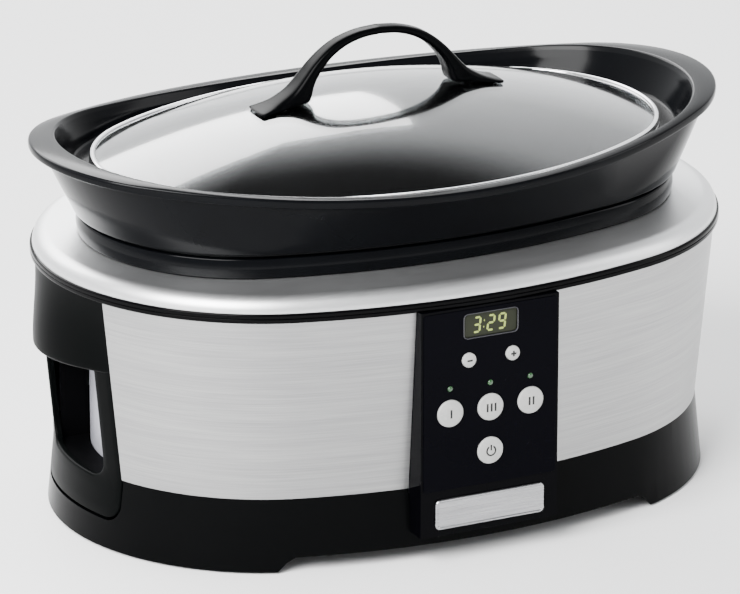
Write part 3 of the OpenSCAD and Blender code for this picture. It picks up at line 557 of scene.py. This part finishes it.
pot_corners = np.array([0, 4, 6, 1, 1.2, 2, 1.2, 0.8, 0.8, 1.2] + [6] * 5 + [1.5]
                       + [2.2, 2.2, 1.6, 1.5, 2, 1, 1, 8, 20, 8, 6, 0])
rows = rounded(pot_rows(), pot_corners)
round_pot = all_round(FOOT, 90, 130)
x, y = outline(rows[:, :3], round_pot[None, :])
z = rows[:, 3:4] + rows[:, 4:5] * (x / rows[:, :1]) ** 2
ring_size = rows[:, 5:]                      # 0 at the poles, 1 elsewhere
pot_grid = np.stack([x * ring_size, y * ring_size, z * ring_size + rows[:, 3:4] * (1 - ring_size)], -1)

coat = Finish("pot_coating")
mottle = coat.noise((26, 26, 26), 3.0)
speck = coat.noise((0.9, 0.9, 0.9), 2.0, 4.0)
x_place, _, z_place = coat.axes()
lip = (z_place - SADDLE / RIM[0] ** 2 * (x_place * x_place)) > RIM_Z - 1.4     # the polished flat of the rim
lip = lip * coat.ramp(abs(x_place) / RIM[0], (0.45, 0.06), (0.9, 1.0))         # mostly at its two ends
pot_coating = coat.close(Base_Color=coat.mix(mottle, (0.0012, 0.0012, 0.0016), (0.002, 0.0024, 0.003)),
                         Roughness=0.13 + 0.05 * (mottle - 0.5) + 0.03 * speck, Specular_IOR_Level=0.055,
                         Coat_Weight=0.1 * lip, Coat_Roughness=0.26, Coat_IOR=1.5,
                         Normal=coat.bump(speck, 0.003))
build("pot_shell", [(pot_grid, False, True)], "pot", pot_coating, ["pot"], 50)


# ---------------------------------------------------------------- Lid: steel ring and glass
# Domed clear glass with a polished stainless ring rolled round its edge. It sits on the pot's ledge.
LID = np.array([174.0, 116.0, 91.0])
LID_Z, RING_TOP = 206.4, 213.6
ring_profile = rounded([(-8, LID_Z), (0.2, LID_Z), (0.2, LID_Z + 2.7), (-0.7, LID_Z + 3.1),
                        (0.0, LID_Z + 3.5), (0.0, RING_TOP), (-3.2, RING_TOP), (-3.2, LID_Z + 2),
                        (-8, LID_Z + 2)], [0, 0.8, 1.0, 0.3, 1.0, 1.2, 1.1, 0.2, 0])
bright = Finish("polished_steel")
haze = bright.noise((30, 30, 6), 2.0)
polish = bright.noise((14, 14, 0.7), 2.0, 2.0)
polished_steel = bright.close(Base_Color=bright.mix(haze, (0.72, 0.72, 0.73), (0.82, 0.82, 0.83)),
                              Metallic=1.0, Roughness=0.1 + 0.06 * haze,
                              Normal=bright.bump(polish, 0.002))
round_lid = all_round(LID, 90, 130)
build("lid_band", [(swept(ring_profile, LID, round_lid), True, True)], "lid",
      polished_steel, ["lid_ring"], 45)

GLASS = LID - 3.2
GLASS_Z, DOME, GLASS_T = 212.6, 27.0, 4.0


def dome_grid():
    """Outer face of height DOME * (1 - s^2) at share s of the edge's outline, from the pole to a
    rounded edge, and the same face again one thickness lower, back to its pole."""
    s = np.sin(np.linspace(0.0, 0.5 * math.pi, 34))
    lip = np.array([0.9985, 1.0, 1.0, 0.9985])
    share = np.concatenate([s[:-1], lip, s[:-1][::-1]])
    drop = np.concatenate([np.zeros(33), [0.05, 0.5, GLASS_T - 0.5, GLASS_T - 0.05], np.full(33, GLASS_T)])
    x, y = outline(GLASS, round_lid)
    z = GLASS_Z + DOME * (1 - share ** 2) - drop
    share, z = share[:, None], np.broadcast_to(z[:, None], (len(z), len(x)))
    return np.stack([share * x, share * y, z], -1)


# The grey base colour tints all light that passes through the glass. This is painted shade: it darkens the pot's inside
# as seen through the lid. The noise only varies the tint and the gloss at random.
glass = Finish("clear_glass")
film = glass.noise((60, 60, 60), 2.0)
clear_glass = glass.close(Base_Color=glass.mix(film, (0.34, 0.36, 0.37), (0.42, 0.44, 0.45)),
                          Roughness=0.02 + 0.02 * film, IOR=1.4, Transmission_Weight=1.0,
                          Coat_Weight=1.0, Coat_Roughness=0.11, Coat_IOR=1.52)
build("glass_dome", [(dome_grid(), False, True)], "lid", clear_glass, ["lid_glass"], 60)


# ---------------------------------------------------------------- Lid handle
# One-piece black phenolic arch: a thin strap that widens down its legs into two fishtail feet,
# which follow the glass and are screwed through it.
def through(points, count):
    """Smooth curve through points: cubic pieces whose slope at a point is half the step between its
    neighbours, evaluated at evenly shared places."""
    p = np.concatenate([2 * points[:1] - points[1:2], points, 2 * points[-1:] - points[-2:-1]])
    place = np.linspace(0.0, len(points) - 1.0, count)
    k = np.minimum(place.astype(int), len(points) - 2)
    u = (place - k)[:, None]
    a, b, c, d = p[k], p[k + 1], p[k + 2], p[k + 3]
    return b + 0.5 * u * (c - a + u * (2 * a - 5 * b + 4 * c - d + u * (3 * (b - c) + d - a)))


# Upper edge, lower edge and width of one half of the arch, from its top to the tip of a foot
ARCH = np.array([
    [0.0, 277.2, 0.0, 272.8, 9.8], [13.0, 276.0, 11.2, 271.7, 9.9], [25.0, 272.6, 21.5, 268.5, 10.4],
    [34.0, 267.6, 30.2, 263.3, 11.4], [42.0, 260.9, 36.4, 257.3, 12.9], [48.0, 254.3, 40.6, 251.8, 14.4],
    [52.6, 249.2, 43.0, 246.8, 15.8], [57.0, 245.2, 44.2, 241.9, 17.0], [62.0, 242.0, 46.5, 238.4, 18.2],
    [67.5, 239.2, 55.0, 237.4, 18.4], [72.5, 237.4, 65.0, 235.9, 20.2], [77.0, 236.2, 76.0, 234.3, 21.4]])


def arch_grid():
    """Rounded oblong section of fourth power, |u|^4 + |v|^4 = 1, stretched between the upper and the
    lower edge and over the width; both tips are drawn together in three steps and closed."""
    half = through(ARCH, 70)
    run = np.concatenate([half[::-1] * [-1, 1, -1, 1, 1], half[1:]])
    around = np.linspace(0.0, 2.0 * math.pi, 32, endpoint=False)
    c, s = np.cos(around), np.sin(around)
    power = (np.abs(c) ** 4 + np.abs(s) ** 4) ** -0.25
    u, v = c * power, s * power
    upper, lower, width = run[:, :2], run[:, 2:4], run[:, 4]
    middle, stretch = 0.5 * (upper + lower), 0.5 * (upper - lower)
    shrink, ahead = np.array([0.93, 0.72, 0.0]), np.array([0.7, 1.1, 1.2])
    ends = []
    for tip, way in ((0, -1.0), (-1, 1.0)):
        m = middle[tip] + ahead[:, None] * way * np.array([0.97, -0.12 * way])
        ends.append((m, stretch[tip] * shrink[:, None], width[tip] * shrink))
    middle = np.concatenate([ends[0][0][::-1], middle, ends[1][0]])
    stretch = np.concatenate([ends[0][1][::-1], stretch, ends[1][1]])
    width = np.concatenate([ends[0][2][::-1], width, ends[1][2]])
    side = middle[:, None] + stretch[:, None] * u[None, :, None]
    return np.stack([side[..., 0], 0.5 * width[:, None] * v[None, :], side[..., 1]], -1)


handle_black = moulded("black_handle", (0.0009, 0.001, 0.0012), (0.0005, 0.0006, 0.0008), 0.25, 0.08, 0.8,
                       0.005, Specular_IOR_Level=0.03)
build("arch_handle", [(arch_grid(), False, True)], "lid", handle_black, ["lid_handle"], 60)


# ---------------------------------------------------------------- Control panel
# Gloss black housing with a glossy overlay, a recessed display with a dark smoked window, and a
# blank metal badge plate with a raised border below.
panel_black = moulded("panel_black", (0.001, 0.001, 0.0014), (0.0006, 0.0006, 0.001), 0.08, 0.05, 1.1, 0.002,
                      Specular_IOR_Level=0.03)
overlay_black = moulded("overlay_black", (0.0006, 0.0006, 0.0016), (0.0004, 0.0004, 0.0012), 0.12, 0.06, 0.9,
                        0.002, Specular_IOR_Level=0.025)
whole_solid("panel_housing", "panel_bezel", "base", panel_black, 0.7)
whole_solid("panel_face", "panel_overlay", "base", overlay_black, 0.15)
FACE_Y = -147.0                              # the housing's face, behind the badge


def rounded_plate(width, height, radius, centre, layers):
    """Plate in the panel's plane: its outline is an oblong with round corners, and each layer is
    (distance in from that outline, y). The last layer is closed by lines to the middle."""
    corner = np.radians(np.linspace(0.0, 90.0, 9))
    turns = (0.0, 1, 1), (0.5 * math.pi, -1, 1), (math.pi, -1, -1), (1.5 * math.pi, 1, -1)
    rings = []
    for cut, y in layers:
        r = max(radius - cut, 0.05)
        hw, hh = 0.5 * width - cut - r, 0.5 * height - cut - r
        ring = np.concatenate([
            np.stack([sx * hw + r * np.cos(corner + q), sz * hh + r * np.sin(corner + q)], 1)
            for q, sx, sz in turns])
        rings.append(np.stack([ring[:, 0], np.full(len(ring), y), centre + ring[:, 1]], 1))
    rings = np.stack(rings)
    poles = [np.broadcast_to([0.0, rings[k, 0, 1], centre], rings[k].shape)[None] for k in (0, -1)]
    return np.concatenate([poles[0], rings, poles[1]])


badge = rounded_plate(69.0, 18.0, 3.0, 31.2, [(0.0, FACE_Y), (0.0, -148.2), (0.4, -148.6), (1.1, -148.6),
                                              (1.6, -148.2), (3.0, -148.2)])
badge_steel = brushed_steel("badge_steel", (0.42, 0.42, 0.43), (0.27, 0.27, 0.28), 0.27, (20.0, 20.0, 0.5))
build("blank_badge", [(badge, False, True)], "base", badge_steel, ["badge_plate"], 30)

WINDOW_Z = 142.0
smoked = Finish("window_tint")
veil = smoked.noise((12, 12, 12), 2.0)
window_tint = smoked.close(Base_Color=smoked.mix(veil, (0.012, 0.014, 0.008), (0.018, 0.02, 0.012)),
                           Roughness=0.2 + 0.05 * veil, Specular_IOR_Level=0.1)
window = rounded_plate(33.7, 14.2, 2.3, WINDOW_Z, [(0.0, -145.2), (0.0, -146.4), (0.2, -146.6)])
build("display_pane", [(window, False, True)], "base", window_tint, ["display_window"], 40)

# Frame of the window, a thin raised line round its edge, without the plate's middle
frame_line = rounded_plate(34.6, 15.1, 2.8, WINDOW_Z,
                           [(0.0, -147.4), (0.0, -147.75), (0.25, -147.85), (0.5, -147.75)])[1:-1]
frame_back = frame_line[-1:] + [0.0, 0.9, 0.0]
window_rim = moulded("window_rim", (0.02, 0.02, 0.024), (0.014, 0.014, 0.018), 0.25, 0.05, 0.6, 0.002)
build("display_rim", [(np.concatenate([frame_line, frame_back]), True, True)], "base",
      window_rim)


# ---------------------------------------------------------------- Display digits
# Slanted seven-bar digits of a clock display, lit yellow green behind the smoked window.
BARS = {"top": ((0, 2), (1, 2)), "mid": ((0, 1), (1, 1)), "low": ((0, 0), (1, 0)),
        "upper_left": ((0, 1), (0, 2)), "upper_right": ((1, 1), (1, 2)),
        "lower_left": ((0, 0), (0, 1)), "lower_right": ((1, 0), (1, 1))}
LIT = {"2": ("top", "upper_right", "mid", "lower_left", "low"),
       "3": ("top", "upper_right", "mid", "lower_right", "low"),
       "9": ("top", "upper_left", "upper_right", "mid", "lower_right", "low")}
DIGIT_W, DIGIT_H, BAR_W, SLANT = 3.8, 4.3, 1.15, 0.1


def bar_grid(a, b, half):
    """Six-sided bar from a to b with pointed ends, as a grid of two rows across its thickness."""
    a, b = np.array(a, float), np.array(b, float)
    along = (b - a) / np.linalg.norm(b - a)
    side = np.array([-along[1], along[0]])
    a, b = a + 0.25 * along, b - 0.25 * along
    ring = np.array([a, a + half * (along + side), b - half * (along - side), b, b - half * (along + side),
                     a + half * (along - side)])
    ring[:, 0] += SLANT * (ring[:, 1] - WINDOW_Z)
    grid = [np.stack([ring[:, 0], np.full(6, y), ring[:, 1]], 1) for y in (-146.5, -146.72)]
    middle = [np.broadcast_to(g.mean(0), g.shape) for g in grid]
    return np.stack([middle[0], *grid, middle[1]]), False, True


digits = []
for figure, left in (("3", -10.2), ("2", -1.4), ("9", 5.6)):
    for lit in LIT[figure]:
        (ax, az), (bx, bz) = BARS[lit]
        low = WINDOW_Z - DIGIT_H
        digits.append(bar_grid((left + DIGIT_W * ax, low + DIGIT_H * az),
                               (left + DIGIT_W * bx, low + DIGIT_H * bz), 0.5 * BAR_W))
for dot_z in (WINDOW_Z - 1.9, WINDOW_Z + 1.9):
    digits.append(bar_grid((-4.6, dot_z), (-3.2, dot_z), 0.6))
lit_green = Finish("lit_digits")
flicker = lit_green.noise((1.5, 1.5, 1.5), 1.0)
digit_glow = lit_green.close(Base_Color=(0.2, 0.25, 0.05, 1.0), Roughness=0.5, Emission_Strength=0.33,
                             Emission_Color=lit_green.mix(flicker, (0.46, 0.56, 0.13), (0.62, 0.70, 0.22)))
build("clock_digits", digits, "base", digit_glow, (), 20)


# ---------------------------------------------------------------- Push buttons and lights
# Six domed pearl-grey caps, each marked with a plain sign: minus, plus, one, three and two bars
# for the heat levels, and a broken ring with a stroke for power. Three green lights stand above.
def turned(profile, centre, sides=64):
    """Profile of (radius, y) spun about a line along y through centre, closed at its first and last
    points, which lie on that line."""
    profile = np.asarray(profile, float)
    spin = np.linspace(0.0, 2.0 * math.pi, sides, endpoint=False)
    x = centre[0] + profile[:, :1] * np.cos(spin)
    z = centre[1] + profile[:, :1] * np.sin(spin)
    return np.stack([x, np.broadcast_to(profile[:, 1:], x.shape), z], -1)


CAP_BACK, CAP_SIDE, CAP_EDGE, CAP_DOME = -145.0, -148.35, -148.75, 0.55


def cap(radius, centre):
    """Dome whose height falls as 1 - (s / 0.93)^2 at share s of the radius, 1.8 mm proud of the
    overlay, with a rounded edge and a short straight side."""
    edge = rounded([(radius, CAP_BACK), (radius, CAP_SIDE), (0.93 * radius, CAP_EDGE)], [0, 0.5, 0])
    s = np.linspace(0.9, 0.0, 9)
    dome = np.stack([s * radius, CAP_EDGE - CAP_DOME * (1 - (s / 0.93) ** 2)], 1)
    return turned(np.concatenate([[(0.0, CAP_BACK)], edge, dome]), centre)


def pearl(name, centre, marks):
    """Pearl-grey finish with a dark sign: marks gives a mask from the distances dx and dz, in
    millimetres, from the cap's middle."""
    made = Finish(name)
    x, _, z = made.axes()
    sheen = made.noise((7, 7, 7), 2.0)
    fleck = made.noise((0.35, 0.35, 0.35), 1.0, 9.0)
    ink = marks(x - centre[0], z - centre[1])
    ground = made.mix(0.6 * sheen + 0.4 * fleck, (0.30, 0.30, 0.29), (0.38, 0.38, 0.37))
    return made.close(Base_Color=made.mix(ink, ground, (0.002, 0.002, 0.002)), Roughness=0.24 + 0.06 * sheen,
                      Coat_Weight=0.15 * (1.0 - ink), Specular_IOR_Level=0.3, Normal=made.bump(fleck, 0.002))


def stroke(dx, dz, half_w, half_h):
    """Mask of an upright oblong about the middle: 1 inside both half sizes, 0 outside."""
    return (abs(dx) < half_w) * (abs(dz) < half_h)


def plus_sign(dx, dz):
    """A level and an upright stroke; together they cover 1 - (1 - level) * (1 - upright)."""
    return 1.0 - (1.0 - stroke(dx, dz, 1.7, 0.55)) * (1.0 - stroke(dx, dz, 0.55, 1.7))


def bars(count):
    """As many upright strokes as the heat level, side by side."""
    def mark(dx, dz):
        total = 0.0
        for k in range(count):
            total = total + stroke(dx - 2.5 * (k - 0.5 * (count - 1)), dz, 0.6, 2.5)
        return total
    return mark


def power_sign(dx, dz):
    """Ring of mean radius 2.7 mm with its top left open, and an upright stroke through the gap."""
    far = (dx * dx + dz * dz).finish.math("SQRT", dx * dx + dz * dz)
    ring = (abs(far - 2.7) < 0.5) * (1.0 - stroke(dx, dz - 2.8, 1.25, 1.5))
    return ring + stroke(dx, dz - 2.0, 0.5, 1.7)


BIG_Z, SMALL_Z, LIGHT_Z, POWER_Z, PITCH = 91.7, 122.0, 106.3, 65.4, 25.4
BUTTONS = [("minus", 4.3, (-13.8, SMALL_Z), lambda dx, dz: stroke(dx, dz, 1.7, 0.55)),
           ("plus", 4.3, (13.8, SMALL_Z), plus_sign),
           ("low", 8.0, (-PITCH, BIG_Z), bars(1)), ("high", 8.0, (0.0, BIG_Z), bars(3)),
           ("warm", 8.0, (PITCH, BIG_Z), bars(2)), ("power", 8.0, (0.0, POWER_Z), power_sign)]
for name, radius, centre, marks in BUTTONS:
    node = f"{name}_button"
    build(f"{name}_cap", [(cap(radius, centre), False, True)], node,
          pearl(f"pearl_{name}", centre, marks), [node], 40)

lens_green = Finish("light_lens")
glint = lens_green.noise((0.8, 0.8, 0.8), 1.0)
light_lens = lens_green.close(Base_Color=lens_green.mix(glint, (0.006, 0.03, 0.008), (0.012, 0.05, 0.014)),
                              Roughness=0.12, Coat_Weight=0.5,
                              Emission_Color=(0.05, 0.22, 0.05, 1.0), Emission_Strength=0.12)
lights = [(turned([(0, -146.0), (1.55, -146.0), (1.55, -147.6), (1.4, -147.95), (0.9, -148.25), (0, -148.35)],
                  (x, LIGHT_Z), 32), False, True) for x in (-PITCH, 0.0, PITCH)]
build("level_lights", lights, "base", light_lens, (), 50)


# ---------------------------------------------------------------- Parts inside
# The heating well and its shield, insulation, boards, leads and fixings keep their engineered
# shapes. Each gets the finish of its own stuff: pressed sheet, mica, glass fibre, resin board, wire.
shield = Finish("shield_metal")
smear = shield.noise((60, 60, 24), 3.0)
fine_lines = shield.noise((30, 30, 0.8), 2.0, 3.0)
INSIDE = {
    "shield_metal": shield.close(Base_Color=shield.mix(smear, (0.42, 0.42, 0.47), (0.54, 0.54, 0.60)),
                                 Metallic=0.5, Roughness=0.42 + 0.12 * (smear - 0.5),
                                 Normal=shield.bump(fine_lines, 0.006)),
    "liner_metal": moulded("liner_metal", (0.62, 0.62, 0.63), (0.5, 0.5, 0.51), 0.38, 0.15, 1.2, 0.01, 1.0),
    "zinc_steel": moulded("zinc_steel", (0.62, 0.63, 0.65), (0.5, 0.5, 0.5), 0.3, 0.12, 0.8, 0.01, 1.0),
    "black_liner": moulded("black_liner", (0.0012, 0.0012, 0.0014), (0.0008, 0.0008, 0.001), 0.55, 0.1, 0.9,
                           0.02, Specular_IOR_Level=0.02),
    "black_rubber": black_rubber,
    "mica_band": moulded("mica_band", (0.5, 0.44, 0.3), (0.36, 0.31, 0.2), 0.6, 0.15, 2.5, 0.1),
    "glass_fibre": moulded("glass_fibre", (0.82, 0.8, 0.72), (0.66, 0.63, 0.54), 0.95, 0.05, 1.6, 0.5),
    "sensor_black": moulded("sensor_black", (0.03, 0.03, 0.03), (0.02, 0.02, 0.02), 0.5),
    "display_body": moulded("display_body", (0.02, 0.024, 0.014), (0.014, 0.016, 0.01), 0.2),
    "switch_grey": moulded("switch_grey", (0.09, 0.09, 0.1), (0.06, 0.06, 0.07), 0.5),
    "light_pipe": moulded("light_pipe", (0.06, 0.2, 0.06), (0.04, 0.14, 0.04), 0.2),
    "led_white": moulded("led_white", (0.7, 0.74, 0.7), (0.6, 0.64, 0.6), 0.3),
    "board_green": moulded("board_green", (0.03, 0.14, 0.06), (0.02, 0.1, 0.045), 0.3, 0.1, 1.5, 0.03),
    "relay_blue": moulded("relay_blue", (0.02, 0.04, 0.2), (0.015, 0.03, 0.15), 0.35),
    "coil_yellow": moulded("coil_yellow", (0.55, 0.42, 0.08), (0.42, 0.32, 0.06), 0.5, 0.1, 1.2, 0.08),
    "can_blue": moulded("can_blue", (0.02, 0.03, 0.09), (0.015, 0.02, 0.06), 0.3),
    "fuse_glass": moulded("fuse_glass", (0.7, 0.7, 0.66), (0.6, 0.6, 0.56), 0.15),
    "block_white": moulded("block_white", (0.74, 0.74, 0.7), (0.64, 0.64, 0.6), 0.45),
    "cable_grey": moulded("cable_grey", (0.45, 0.45, 0.45), (0.36, 0.36, 0.36), 0.5, 0.1, 1.27, 0.05),
    "lead_white": moulded("lead_white", (0.75, 0.75, 0.75), (0.65, 0.65, 0.65), 0.5, 0.1, 0.4, 0.03),
    "lead_brown": moulded("lead_brown", (0.2, 0.09, 0.04), (0.14, 0.06, 0.03), 0.45, 0.1, 0.4, 0.02),
}
for part in frame["record"]["subparts"]:
    if part["material_slot"] in INSIDE:
        mesh = nodes[part["node"]].data
        mesh.materials.clear()
        mesh.materials.append(INSIDE[part["material_slot"]])
